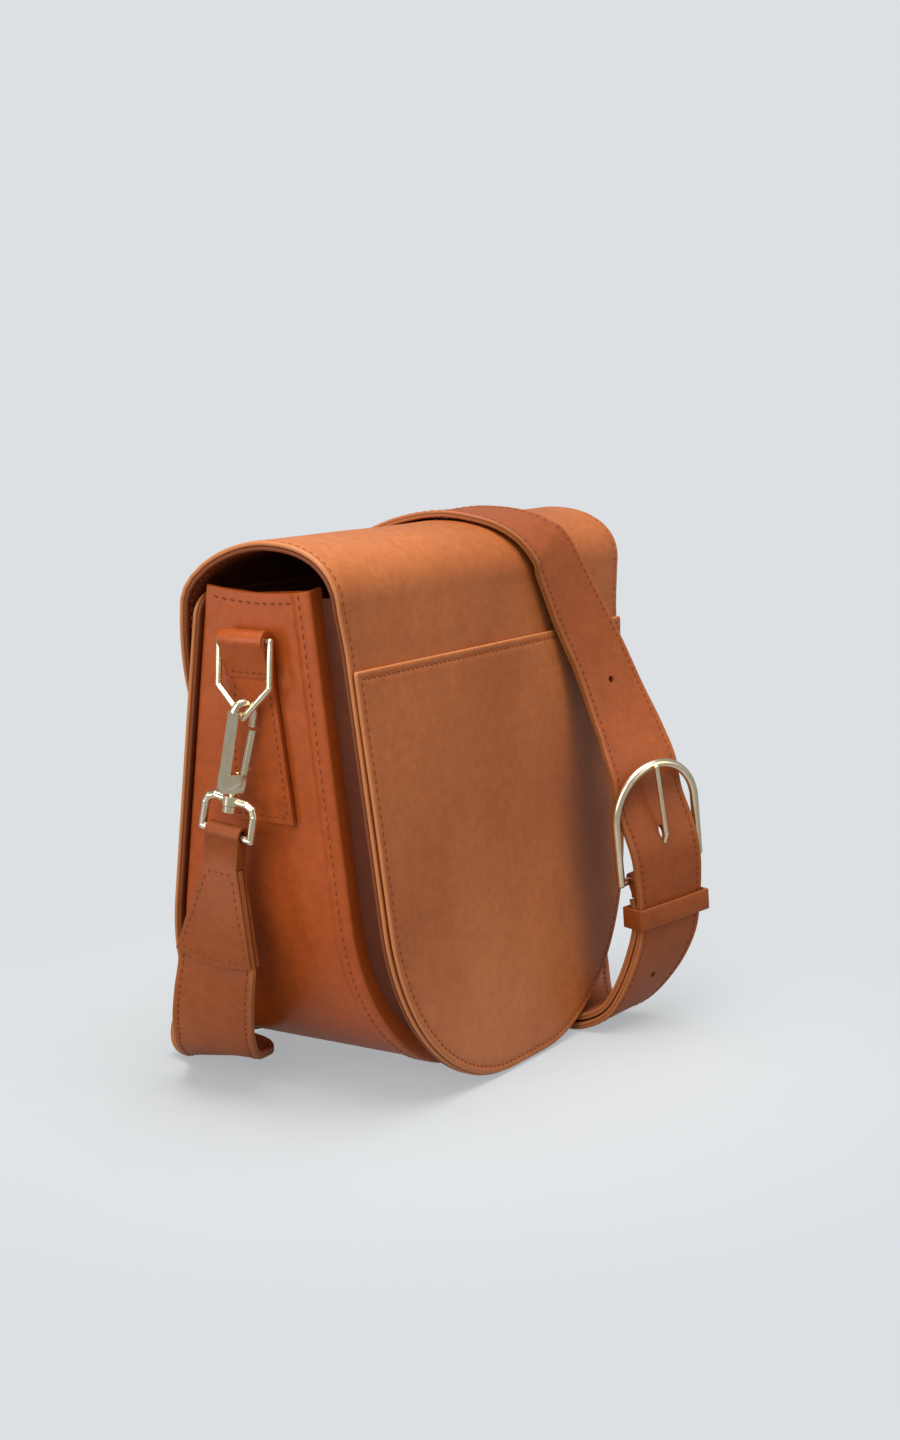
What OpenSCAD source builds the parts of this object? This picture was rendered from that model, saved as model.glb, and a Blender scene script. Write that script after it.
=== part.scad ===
// Saddle-shaped crossbody bag: body, flap, swivel-hook hangers and a buckled wrap strap.
// Millimetres, +Z up, origin at the middle of the base, +Y towards the back panel.

/* [Bag body] */
// Radius of the rounded lower corners, seen from the front
corner_r = 92; // [84:1:98]
// Half length of the flat stretch of the base
half_flat = 14; // [8:1:20]
// Outward lean of the sides, in degrees
side_lean = 6; // [4:0.5:7]
// Height of the front panel
front_top = 216; // [212:1:217]
// Height of the gusset at its open top
gusset_top = 221; // [218:1:222]
// Height where the back panel turns into the flap
flap_line = 214; // [212:1:215]
// Height of the straight top edge of the slip pocket
pocket_top = 189; // [150:1:195]

/* [Flap] */
// Height of the crest over the floor
crest_z = 240.5; // [239.5:0.5:241]
// Half width of the flap
flap_half = 123; // [121:1:126]
// Lowest point of the rounded front of the flap
flap_drop = 110; // [95:1:140]

/* [Leather and metal] */
// Thickness of one layer of leather in the shell
layer = 2; // [1.8:0.1:2.1]
// Thickness of the strap, two layers stitched
strap_t = 3.2; // [2.8:0.1:3.4]
// Width of the strap
strap_w = 39; // [36:1:40]
// Radius of the ring wire
ring_wire = 1.4; // [1.2:0.1:1.5]
// Radius of the swivel loop wire
loop_wire = 1.7; // [1.5:0.1:1.8]
// Width of the leather that folds around a 20 mm swivel loop
fold_w = 17; // [14:0.5:18]

/* [Hidden] */
$fn = 48;
leather = [0.62, 0.31, 0.16];
leather_dark = [0.42, 0.19, 0.09];
suede = [0.35, 0.2, 0.12];
gold = [0.88, 0.82, 0.66];

// Slanted planes of the shell: y at the floor and change of y per mm of height
front_foot = -64.5;
front_rise = 0.18;
seam_foot = 46;
seam_rise = -0.068;
back_foot = 61.5;
back_rise = -0.082;
// Inset of the gusset from the panel edges, its leather and the rear recess
gusset_inset = 3;
gusset_t = 2.2;
hem_t = 2.4;
recess_inset = 10;
pocket_gap = 1;
pocket_t = 1.6;
pocket_inset = 1.2;
pocket_seam_w = 6;
// Flap profile: middle of the crest, half depths and the spring line of the arch
arch_y = 12;
arch_front = 43.5;
arch_back = 36;
arch_z = 212;
flap_gap = 1.2;
flap_t = 2 * layer;
oval_z = 230;
// Ring tab, measured down the side of the gusset from the ring bar
tab_z = 200;
bar_out = 4.6;
bar_bore = ring_wire + 0.3;
tab_fold_r = 4.4;
tab_top_w = 22;
tab_foot_w = 32;
tab_len = 78;
tab_stitch = 16;
tab_t = 2.2;
// Pentagonal ring
ring_half = 12.8;
ring_side = 19;
ring_drop = 32;
ring_tilt = 9;
// Hanger: tilt of the hook towards the strap and turn of the hook about its own axis
hang_tilt = 11;
end_tilt = 6;
hook_turn = 62;
hook_half = 4.6;
hook_wire = 1.6;
hook_foot = 31;
pin_z = 27;
pin_y = 3.6;
pin_r = 0.8;
swivel_z = 35.5;
swivel_bore = 1.95;
swivel_pin = 1.65;
loop_half = 12.3;
loop_drop = 50;
// Strap end that folds around the foot of the swivel loop
end_fold_r = 4;
end_len = 57;
end_straight = 14;
end_t = 1.4;
// Buckle on the free loop of the strap
buckle_at = [-78.8, 93.3, 76.8];
buckle_turn = [-6, 12, -24];
buckle_half = 24;
buckle_len = 52;
buckle_wire = 2;
bar_r = 1.8;
fold_r = 3.4;
fold_len = 9.4;
ball = 1.05;
snap_z = 130;
snap_r = 9;
washer_r = 11;
prong_r = 1.2;
prong_slot = 4.6;
keeper_at = [-79.9, 96.4, 57.5];
keeper_t = 1.5;
keeper_w = 10;

// ---------- shell ----------
function front_y(z) = front_foot + front_rise * z;
function seam_y(z) = seam_foot + seam_rise * z;
function back_y(z) = back_foot + back_rise * z;

// Right half of the panel outline, inset by d and cut at height top
function side_points(d, top) =
    let (r = corner_r - d,
         xa = half_flat + r * cos(side_lean),
         za = corner_r - r * sin(side_lean))
    concat(
        [for (a = [-90 : 6 : -side_lean]) [half_flat + r * cos(a), corner_r + r * sin(a)]],
        [[xa + (top - za) * tan(side_lean), top]]);

module outline(d, top) {
    right = side_points(d, top);
    left = [for (i = [len(right) - 1 : -1 : 0]) [-right[i][0], right[i][1]]];
    polygon(concat(right, left));
}

// A band of the outline, thickness t, open at the top
module outline_band(d, t, top) {
    difference() {
        outline(d, top);
        outline(d + t, top + 20);
    }
}

// Sweeps an outline drawn in X and Z along Y
module along_y() {
    rotate([90, 0, 0])
        linear_extrude(height = 240, center = true)
            children();
}

// Space between two slanted planes given as y at the floor and change of y per mm of height
module between(foot_a, rise_a, foot_b, rise_b) {
    rotate([90, 0, 90])
        linear_extrude(height = 400, center = true)
            polygon([[foot_a - 10 * rise_a, -10], [foot_b - 10 * rise_b, -10],
                     [foot_b + 260 * rise_b, 260], [foot_a + 260 * rise_a, 260]]);
}

module panel(d, top, foot, rise, t) {
    intersection() {
        along_y() outline(d, top);
        between(foot, rise, foot + t, rise);
    }
}

module snap_hole(r) {
    translate([0, 0, snap_z])
        rotate([90, 0, 0])
            cylinder(r = r, h = 260, center = true);
}

module front_panel() {
    color(leather)
    difference() {
        panel(0, front_top, front_foot, front_rise, layer);
        intersection() {
            snap_hole(snap_r);
            translate([-20, -100, 100]) cube([40, 90, 60]);
        }
    }
}

module front_backing() {
    color(leather_dark)
    panel(0, front_top, front_foot + layer, front_rise, layer);
}

module main_gusset() {
    color(leather)
    union() {
        intersection() {
            along_y() outline_band(gusset_inset, gusset_t, gusset_top);
            between(front_foot + flap_t, front_rise, seam_foot, seam_rise);
        }
        intersection() {
            along_y() outline_band(gusset_inset, recess_inset + layer - gusset_inset, gusset_top);
            between(seam_foot - hem_t, seam_rise, seam_foot, seam_rise);
        }
    }
}

// Wear strip sewn under the gusset, flush with the panel edges, which the bag stands on
module base_patch() {
    color(leather_dark)
    translate([-13.5, front_foot + flap_t + 2, 0])
        cube([27, seam_foot - front_foot - flap_t - 4, gusset_inset - 0.05]);
}

module gusset_lining() {
    color(suede)
    intersection() {
        along_y() outline_band(gusset_inset + gusset_t, 1, gusset_top - 3);
        between(front_foot + flap_t, front_rise, seam_foot - hem_t, seam_rise);
    }
}

module base_stiffener() {
    color(suede)
    intersection() {
        along_y() outline_band(gusset_inset + gusset_t + 1, 2.4, 120);
        between(front_foot + flap_t, front_rise, seam_foot - hem_t, seam_rise);
        translate([-62, -100, 0]) cube([124, 200, 60]);
    }
}

module rear_gusset() {
    color(leather_dark)
    intersection() {
        along_y() outline_band(recess_inset, layer, gusset_top - 4);
        between(seam_foot, seam_rise, back_foot, back_rise);
    }
}

module back_lining() {
    color(leather_dark)
    panel(0, flap_line - 0.3, back_foot, back_rise, layer);
}

module back_panel() {
    color(leather)
    panel(0, flap_line - 0.3, back_foot + layer, back_rise, layer);
}

module pocket_seam() {
    color(leather)
    intersection() {
        along_y() outline_band(pocket_inset, pocket_seam_w, pocket_top);
        between(back_foot + flap_t, back_rise, back_foot + flap_t + pocket_gap, back_rise);
    }
}

module slip_pocket() {
    color(leather)
    panel(pocket_inset, pocket_top, back_foot + flap_t + pocket_gap, back_rise, pocket_t);
}

// ---------- flap ----------
// Point of the arch at angle a from the back (0) over the crest (90) to the front (180), inset by d
function arch_point(a, d) =
    let (depth = a < 90 ? arch_back : arch_front,
         n = a < 90 ? 2.3 : 1.75,
         spring = a < 90 ? flap_line : arch_z,
         c = abs(cos(a)), s = sin(a))
    [arch_y + (a < 90 ? 1 : -1) * (depth - d) * pow(c, 2 / n),
     spring + (crest_z - spring - d) * pow(s, 2 / n)];

function flap_line_points(d) = concat(
    [for (i = [0 : 15]) arch_point(i * 6, d)],
    [for (i = [15 : 30]) arch_point(i * 6, d)],
    [for (z = [200 : -20 : flap_drop]) [front_y(z) - flap_t - flap_gap + d, z]],
    [[front_y(flap_drop) - flap_t - flap_gap + d, flap_drop]]);

module flap_sheet(d, t) {
    outer = flap_line_points(d);
    inner = flap_line_points(d + t);
    intersection() {
        rotate([90, 0, 90])
            linear_extrude(height = 2 * flap_half, center = true)
                polygon(concat(outer, [for (i = [len(inner) - 1 : -1 : 0]) inner[i]]));
        along_y() flap_oval();
    }
}

// Front view of the flap: full width over the crest, a half oval below
module flap_oval() {
    polygon(concat(
        [[flap_half, crest_z + 10], [-flap_half, crest_z + 10]],
        [for (a = [0 : 6 : 180])
            [-flap_half * cos(a), oval_z - (oval_z - flap_drop) * sin(a)]]));
}

module flap_outer() {
    color(leather)
    flap_sheet(0, layer);
}

module flap_lining() {
    color(leather_dark)
    difference() {
        flap_sheet(layer, layer);
        intersection() {
            snap_hole(snap_r);
            translate([-20, -100, 100]) cube([40, 90, 60]);
        }
    }
}

// Disc set into a leaning layer of the front, y measured from the front plane
module snap_disc(r, y0, t) {
    intersection() {
        snap_hole(r);
        between(front_foot + y0, front_rise, front_foot + y0 + t, front_rise);
    }
}

module front_snap() {
    color(gold)
    snap_disc(snap_r - 0.05, -0.6, layer + 0.6);
}

module front_snap_washer() {
    color(gold)
    snap_disc(washer_r, 2 * layer, 1);
}

module flap_snap() {
    color(gold)
    snap_disc(snap_r - 0.05, -flap_gap - layer, layer);
}

// ---------- ring tabs and rings ----------
// Frame on the left gusset side: x out of the leather, z up along it, origin beside the ring bar
module on_side() {
    xs = half_flat + (corner_r - gusset_inset) * cos(side_lean);
    zs = corner_r - (corner_r - gusset_inset) * sin(side_lean);
    translate([xs + (tab_z - zs) * tan(side_lean), 0, tab_z])
        rotate([0, side_lean, 0])
            children();
}

module other_side() {
    rotate([0, 0, 180]) children();
}

module tab() {
    on_side()
    union() {
        rotate([90, 0, 0])
            linear_extrude(height = tab_top_w, center = true)
                difference() {
                    union() {
                        translate([bar_out, 0]) circle(r = tab_fold_r);
                        polygon([[0, 0], [0, -tab_stitch], [4, -tab_stitch],
                                 [bar_out + (tab_fold_r - 0.4) * cos(18),
                                  -(tab_fold_r - 0.4) * sin(18)]]);
                    }
                    translate([bar_out, 0]) circle(r = bar_bore);
                }
        rotate([90, 0, 90])
            linear_extrude(height = tab_t)
                polygon([[-tab_top_w / 2 + 0.4, 2 - tab_stitch],
                         [tab_top_w / 2 - 0.4, 2 - tab_stitch],
                         [tab_foot_w / 2, -tab_len], [-tab_foot_w / 2, -tab_len]]);
    }
}

module tab_left() {
    color(leather) tab();
}

module tab_right() {
    color(leather) other_side() tab();
}

// Round rod from p to q with a ball at its far end, a little proud so that bends stay round

module rod(p, q, r) {
    v = q - p;
    len_v = norm(v);
    translate(p)
        rotate([0, acos(v[2] / len_v), atan2(v[1], v[0])])
            cylinder(r = r, h = len_v);
    translate(q) sphere(r = ball * r);
}

module wire_path(points, r) {
    for (i = [0 : len(points) - 2])
        rod(points[i], points[i + 1], r);
}

// Frame of the ring: origin on its bar, tilted out of the side
module on_ring() {
    on_side()
        translate([bar_out, 0, 0])
            rotate([0, -ring_tilt, 0])
                children();
}

module ring() {
    on_ring()
        wire_path([[0, -ring_half, 0], [0, ring_half, 0], [0, ring_half, -ring_side],
                   [0, 0, -ring_drop], [0, -ring_half, -ring_side], [0, -ring_half, 0]],
                  ring_wire);
}

module ring_left() {
    color(gold) ring();
}

module ring_right() {
    color(gold) other_side() ring();
}

// ---------- swivel hooks ----------
ring_foot_x = half_flat + (corner_r - gusset_inset) * cos(side_lean)
    + (tab_z - corner_r + (corner_r - gusset_inset) * sin(side_lean)) * tan(side_lean)
    + bar_out * cos(side_lean) + ring_drop * sin(ring_tilt - side_lean);
ring_foot_z = tab_z - bar_out * sin(side_lean) - ring_drop * cos(ring_tilt - side_lean);

// Frame of the hanger: origin at the foot of the ring, z up along the hook
module on_hanger() {
    translate([ring_foot_x, 0, ring_foot_z])
        rotate([-hang_tilt, 0, 0])
            children();
}

// The hook's own plane, turned about the hook's axis; y runs from the shank to the gate
module on_hook() {
    on_hanger()
        rotate([0, 0, hook_turn])
            children();
}

module hook_body() {
    on_hook()
    difference() {
        union() {
            // nose arched over the ring
            translate([0, 0, 2.1])
                rotate([90, 0, 90])
                    intersection() {
                        rotate_extrude() translate([hook_half, 0]) circle(r = hook_wire);
                        translate([-10, 0, -10]) cube([20, 20, 20]);
                    }
            // shank
            translate([-2, -hook_half - hook_wire, -hook_foot]) cube([4, 3.2, hook_foot + 2.5]);
            // foot that carries the gate pin and the swivel
            translate([-2.4, -hook_half - hook_wire, -hook_foot - 1])
                cube([4.8, 2 * hook_half + 1.2, 8]);
            translate([0, hook_half, -3.6]) cylinder(r = hook_wire, h = 6.1);
        }
        // slot for the gate
        translate([-1.4, 0.9, -hook_foot + 0.5]) cube([2.8, 8, 10]);
        // pin hole
        translate([0, pin_y, -pin_z - 1.4])
            rotate([0, 90, 0]) cylinder(r = pin_r, h = 12, center = true);
        // hole for the swivel post
        translate([0, 0, -hook_foot - 2]) cylinder(r = swivel_pin - 0.25, h = 2.3);
    }
}

module hook_left() {
    color(gold) hook_body();
}

module hook_right() {
    color(gold) other_side() hook_body();
}

module gate_body() {
    on_hook()
    translate([0, pin_y, -pin_z - 1.4])
        union() {
            rotate([90, 0, 90])
                linear_extrude(height = 2.2, center = true)
                    difference() {
                        union() {
                            circle(r = 1.7);
                            polygon([[-1, 0.3], [1.2, 0.3], [2.4, pin_z - 3.7],
                                     [0.2, pin_z - 3.7]]);
                        }
                        circle(r = pin_r + 0.1);
                    }
            // thumb knob
            translate([0, 1, 6.4]) rotate([-90, 0, 0]) cylinder(r = 0.9, h = 2);
        }
}

module gate_left() {
    color(gold) gate_body();
}

module gate_right() {
    color(gold) other_side() gate_body();
}

module gate_pin() {
    on_hook()
        translate([0, pin_y, -pin_z - 1.4])
            rotate([0, 90, 0]) cylinder(r = pin_r, h = 4.8, center = true);
}

module gate_pin_left() {
    color(gold) gate_pin();
}

module gate_pin_right() {
    color(gold) other_side() gate_pin();
}

// Leaf spring that keeps the gate shut, seated behind the gate's foot
module gate_spring() {
    on_hook()
        translate([-0.8, 1, -pin_z - 1.4])
            cube([1.6, 0.4, 3.6]);
}

module gate_spring_left() {
    color("silver") gate_spring();
}

module gate_spring_right() {
    color("silver") other_side() gate_spring();
}

module swivel_post() {
    on_hanger()
    union() {
        translate([0, 0, -swivel_z - 2.4])
            cylinder(r = swivel_pin, h = swivel_z + 1.4 - hook_foot);
        translate([0, 0, -hook_foot - 1.3]) cylinder(r = swivel_pin - 0.25, h = 1.5);
        translate([0, 0, -swivel_z - 5]) cylinder(r = 3.1, h = 2.7);
    }
}

module swivel_post_left() {
    color(gold) swivel_post();
}

module swivel_post_right() {
    color(gold) other_side() swivel_post();
}

module swivel_loop() {
    on_hanger()
    difference() {
        union() {
            wire_path([[0, 2, -swivel_z], [0, loop_half - 4.2, -swivel_z],
                       [0, loop_half - 1.2, -swivel_z - 1.2], [0, loop_half, -swivel_z - 4.2],
                       [0, loop_half, -loop_drop], [0, -loop_half, -loop_drop],
                       [0, -loop_half, -swivel_z - 4.2], [0, 1.2 - loop_half, -swivel_z - 1.2],
                       [0, 4.2 - loop_half, -swivel_z], [0, -2, -swivel_z]], loop_wire);
            translate([0, 0, -swivel_z - 2]) cylinder(r = 3.6, h = 4);
        }
        translate([0, 0, -swivel_z - 6]) cylinder(r = swivel_bore, h = 12);
    }
}

module swivel_loop_left() {
    color(gold) swivel_loop();
}

module swivel_loop_right() {
    color(gold) other_side() swivel_loop();
}

// ---------- strap ends ----------
module strap_end() {
    on_hanger()
        translate([0, 0, -loop_drop])
            rotate([hang_tilt - end_tilt, 0, 0])
            union() {
                rotate([90, 0, 0])
                    linear_extrude(height = fold_w, center = true)
                        difference() {
                            union() {
                                circle(r = end_fold_r);
                                polygon([[-3.2, -2.4], [3.2, -2.4],
                                         [3.2, -end_straight], [-3.2, -end_straight]]);
                            }
                            circle(r = loop_wire + 1);
                        }
                for (x = [strap_t / 2 + 0.35, -strap_t / 2 - 0.35 - end_t])
                    translate([x, 0, 0])
                        rotate([90, 0, 90])
                            linear_extrude(height = end_t)
                                polygon(concat(
                                    [[fold_w / 2, -end_straight], [-fold_w / 2, -end_straight]],
                                    [for (a = [-1 : 0.25 : 1])
                                        [a * strap_w / 2, -end_len + 3 * a * a]]));
            }
}

module strap_end_left() {
    color(leather) strap_end();
}

module strap_end_right() {
    color(leather) other_side() strap_end();
}

// ---------- straps ----------
// Route of the strap: centre x, y, z, then the direction of its width (+X side over the crest)
hang_x = ring_foot_x;
function end_y(u) = -loop_drop * sin(hang_tilt) - u * sin(end_tilt);
function end_z(u) = ring_foot_z - loop_drop * cos(hang_tilt) - u * cos(end_tilt);

// Where the strap crosses the flap it lies along the flap's arch, from the front (180) to the back (0)
strap_lie = strap_t / 2 + 1.4;
cross_start = -5.8;
cross_rate = -0.28;
cross_step = 2;
function crossing(a) =
    let (p = arch_point(a, -strap_lie),
         u = arch_point(a + cross_step, -strap_lie),
         v = arch_point(a - cross_step, -strap_lie),
         run = norm(v - u),
         dx = 2 * cross_step * cross_rate,
         n = norm([run, dx]),
         t = (v - u) / run)
    [cross_start + cross_rate * (180 - a), p[0], p[1], run / n, -dx * t[0] / n, -dx * t[1] / n];

long_route = concat([
    [hang_x, end_y(14.4), end_z(14.4), 0, -1, 0.105],
    [hang_x, end_y(30), end_z(30), 0, -1, 0.105],
    [hang_x, end_y(46), end_z(46), 0, -1, 0.105],
    [hang_x, end_y(55), end_z(55), 0, -1, 0.105],
    [hang_x - 0.1, end_y(63), end_z(63), 0, -1, 0.105],
    [119, -19, 44, 0.05, -1, 0.1],
    [113.5, -23.5, 31, 0.1, -1, 0.08],
    [103, -29.5, 18.5, 0.2, -1, 0.05],
    [89, -36, 11.5, 0.45, -0.9, 0],
    [75.5, -43.5, 7.6, 0.62, -0.78, 0],
    [66, -53, 4.9, 0.9, -0.4, 0],
    [60.8, -64.8, 5.0, 0.96, -0.28, 0.01],
    [55.5, -70.4, 11.3, 0.97, -0.1, 0.08],
    [49.3, -70.6, 20.5, 0.94, 0.0, 0.3],
    [42, -68, 34, 0.92, 0.04, 0.38],
    [33, -63.5, 54, 0.93, 0.04, 0.36],
    [24, -58.5, 82, 0.95, 0.02, 0.3],
    [16, -54.5, 115, 0.96, 0, 0.27],
    [9, -48.5, 150, 0.95, 0, 0.29],
    [1, -42.3, 183, 0.94, 0.05, 0.31]],
    [for (k = [0 : 9]) crossing(176 - 18 * k)],
    [
    [-63, 55.5, 199, 0.9, 0, -0.43],
    [-72, 63, 176, 0.93, -0.08, -0.36],
    [-75, 71, 156, 0.95, -0.18, -0.26],
    [-73.5, 80, 140, 0.94, -0.28, -0.2],
    [-70, 88, 125, 0.91, -0.36, -0.2],
    [-71.4, 90.6, 110, 0.893, -0.398, -0.208],
    [-73, 94.8, 98, 0.893, -0.398, -0.208],
    [-74.3, 97.7, 88, 0.893, -0.398, -0.208],
    [-76.6, 98.6, 76.3, 0.893, -0.398, -0.208],
    [-79, 98.2, 60, 0.93, -0.34, -0.1],
    [-78.5, 97, 44, 0.96, -0.28, 0],
    [-76, 90.5, 26, 0.98, -0.18, 0],
    [-73, 80, 10, 1, -0.05, 0],
    [-71, 67, 2.7, 1, 0, 0],
    [-70, 54, 1.9, 1, 0, 0],
    [-71, 40, 1.9, 1, 0, 0]]);

buckle_route = [
    [-hang_x, -end_y(14.4), end_z(14.4), 0, 1, 0.105],
    [-hang_x, -end_y(30), end_z(30), 0, 1, 0.105],
    [-hang_x, -end_y(46), end_z(46), 0, 1, 0.105],
    [-hang_x, -end_y(55), end_z(55), 0, 1, 0.105],
    [0.1 - hang_x, -end_y(63), end_z(63), 0, 1, 0.105],
    [-119.5, 20, 44, -0.05, 1, 0.1],
    [-114, 25, 28, -0.15, 0.98, 0.1],
    [-104.5, 32, 14.5, -0.3, 0.94, 0.05],
    [-92, 40, 7.5, -0.5, 0.86, 0],
    [-80.5, 48.5, 5.4, -0.75, 0.66, 0],
    [-73.5, 58, 5.4, -0.95, 0.3, 0],
    [-72.2, 68, 7, -1, 0, 0],
    [-74.5, 78, 14, -1, 0.05, 0],
    [-77.5, 87, 27.8, -0.98, 0.18, 0],
    [-79.8, 93.2, 44.5, -0.96, 0.28, 0],
    [-80.8, 94.6, 57, -0.93, 0.34, 0.1],
    [-80.8, 94.2, 64.4, -0.893, 0.398, 0.208]];

// Holes for the prong: centre of the strap there, and the turn of its face
hole_r = 2;
hole_places = [
    [[-30, 12, 243], [0, 0, 0]],
    [[-73.5, 68, 165], [-100, 0, 0]],
    [[-76.2, 91, 27], [-65, 0, 0]]];

function unit(v) = v / norm(v);

// Catmull-Rom value between points 1 and 2 at t
function spline(p0, p1, p2, p3, t) =
    0.5 * (2 * p1 + (p2 - p0) * t + (2 * p0 - 5 * p1 + 4 * p2 - p3) * t * t
        + (3 * p1 - p0 - 3 * p2 + p3) * t * t * t);

function smooth(route, steps) =
    let (n = len(route))
    concat(
        [for (i = [0 : n - 2], k = [0 : steps - 1])
            spline(route[max(i - 1, 0)], route[i], route[i + 1], route[min(i + 2, n - 1)],
                k / steps)],
        [route[n - 1]]);

function place(p) = [p[0], p[1], p[2]];

// Four corners of each cross section, each square to the route
function strap_ring(path, i, w, t) =
    let (n = len(path),
         along = unit(place(path[min(i + 1, n - 1)]) - place(path[max(i - 1, 0)])),
         raw = [path[i][3], path[i][4], path[i][5]],
         across = unit(raw - (raw * along) * along),
         out = cross(along, across),
         c = place(path[i]))
    [c + across * w / 2 + out * t / 2, c - across * w / 2 + out * t / 2,
     c - across * w / 2 - out * t / 2, c + across * w / 2 - out * t / 2];

// A flat strap along a route; widths gives the width of each section
module ribbon(path, widths, t) {
    n = len(path);
    points = [for (i = [0 : n - 1], p = strap_ring(path, i, widths[i], t)) p];
    sides = [for (i = [0 : n - 2], k = [0 : 3], f = [0, 1])
        let (a = 4 * i + k, b = 4 * i + (k + 1) % 4)
        f == 0 ? [a, a + 4, b] : [b, a + 4, b + 4]];
    m = 4 * (n - 1);
    polyhedron(points, concat(sides, [[0, 1, 2], [0, 2, 3], [m, m + 2, m + 1], [m, m + 3, m + 2]]));
}

// Full width except over the first stretch, where the strap narrows under the strap end
function strap_widths(path) =
    [for (p = path)
        let (down = (end_z(0) - p[2]) / cos(end_tilt),
             loose = abs(p[0]) < hang_x - 0.5)
        loose ? strap_w : min(strap_w, fold_w + (strap_w - fold_w) * (down - end_straight) / 43)];

module long_strap() {
    path = smooth(long_route, 2);
    color(leather)
    difference() {
        ribbon(path, strap_widths(path), strap_t);
        for (h = hole_places)
            translate(h[0]) rotate(h[1]) cylinder(r = hole_r, h = 12, center = true);
        // slot that the prong comes through
        on_buckle()
            translate([-prong_slot / 2, -8, 8]) cube([prong_slot, 20, 13]);
    }
}

module buckle_strap() {
    path = smooth(buckle_route, 3);
    color(leather)
    ribbon(path, strap_widths(path), strap_t);
}

// ---------- buckle ----------

module on_buckle() {
    translate(buckle_at) rotate(buckle_turn) children();
}

// Skived end of the buckle strap, folded around the bar in two lugs beside the prong
module fold_strip(width, top, points) {
    rotate([90, 0, 90])
        linear_extrude(height = width, center = true)
            difference() {
                union() {
                    if (top > 0) circle(r = top);
                    polygon(points);
                }
                circle(r = bar_r + 0.3);
            }
}

module buckle_fold() {
    lug = (strap_w - 3 - prong_slot) / 2;
    color(leather)
    on_buckle()
    union() {
        for (side = [-1, 1])
            translate([side * (prong_slot + lug) / 2, 0, 0])
                fold_strip(lug, fold_r, [[-2.3, -2.3], [2.3, -2.3], [2.2, -7], [-0.6, -7]]);
        fold_strip(strap_w - 3.4, 0, [[-0.8, -5.2], [2.5, -5.2], [2.6, -fold_len],
                                      [-0.8, -fold_len]]);
    }
}

module keeper_loop() {
    color(leather)
    translate(keeper_at)
        rotate([-1, 6, -20])
            difference() {
                cube([strap_w + 2.6 + 2 * keeper_t, 2 * strap_t + 3 + 2 * keeper_t, keeper_w],
                    center = true);
                cube([strap_w + 2.6, 2 * strap_t + 3, keeper_w + 2], center = true);
            }
}

module buckle_frame() {
    color(gold)
    on_buckle()
    union() {
        rod([-buckle_half, 0, 0], [buckle_half, 0, 0], bar_r);
        for (side = [-1, 1])
            rod([side * buckle_half, 0, buckle_len - buckle_half], [side * buckle_half, 0, 0],
                buckle_wire);
        translate([0, 0, buckle_len - buckle_half])
            rotate([90, 0, 0])
                intersection() {
                    rotate_extrude() translate([buckle_half, 0]) circle(r = buckle_wire);
                    translate([-40, 0, -10]) cube([80, 40, 20]);
                }
    }
}

module buckle_prong() {
    color(gold)
    on_buckle()
    difference() {
        union() {
            rotate([0, 90, 0]) cylinder(r = bar_r + 1.3, h = 3.8, center = true);
            rod([0, 2.2, 0], [0, 2.4, 9], prong_r);
            rod([0, 2.4, 9], [0, 6.4, 19], prong_r);
            rod([0, 6.4, 19], [0, buckle_wire + prong_r + 0.2, buckle_len], prong_r);
        }
        rotate([0, 90, 0]) cylinder(r = bar_r + 0.3, h = 6, center = true);
    }
}

front_panel();
front_backing();
main_gusset();
gusset_lining();
base_stiffener();
base_patch();
rear_gusset();
back_panel();
back_lining();
slip_pocket();
pocket_seam();
flap_outer();
flap_lining();
front_snap();
front_snap_washer();
flap_snap();
tab_left();
tab_right();
ring_left();
ring_right();
hook_left();
hook_right();
gate_left();
gate_right();
gate_pin_left();
gate_pin_right();
gate_spring_left();
gate_spring_right();
swivel_post_left();
swivel_post_right();
swivel_loop_left();
swivel_loop_right();
strap_end_left();
strap_end_right();
long_strap();
buckle_strap();
buckle_fold();
keeper_loop();
buckle_frame();
buckle_prong();
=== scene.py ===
import math

import bpy
import bmesh
from mathutils import Matrix, Vector, noise


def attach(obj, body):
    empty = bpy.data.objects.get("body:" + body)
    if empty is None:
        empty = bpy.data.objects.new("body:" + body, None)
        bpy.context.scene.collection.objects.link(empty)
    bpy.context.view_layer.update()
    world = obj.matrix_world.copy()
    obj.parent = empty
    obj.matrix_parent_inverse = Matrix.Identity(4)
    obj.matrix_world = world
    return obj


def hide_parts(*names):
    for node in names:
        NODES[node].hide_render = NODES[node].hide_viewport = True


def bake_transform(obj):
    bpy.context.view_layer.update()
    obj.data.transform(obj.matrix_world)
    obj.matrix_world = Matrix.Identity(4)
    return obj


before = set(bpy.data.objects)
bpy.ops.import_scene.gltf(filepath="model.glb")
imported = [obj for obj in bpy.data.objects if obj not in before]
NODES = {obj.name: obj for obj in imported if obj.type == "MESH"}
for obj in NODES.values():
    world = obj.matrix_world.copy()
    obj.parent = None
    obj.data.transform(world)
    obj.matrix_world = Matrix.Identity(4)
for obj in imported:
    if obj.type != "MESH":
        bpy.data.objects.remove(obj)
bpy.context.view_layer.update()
MM = 0.001
scene = bpy.context.scene


# ---------------------------------------------------------------- materials
def new_material(name):
    m = bpy.data.materials.new(name)
    m.use_nodes = True
    nt = m.node_tree
    nt.nodes.clear()
    out = nt.nodes.new("ShaderNodeOutputMaterial")
    b = nt.nodes.new("ShaderNodeBsdfPrincipled")
    nt.links.new(b.outputs[0], out.inputs[0])
    return m, nt, b


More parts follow.
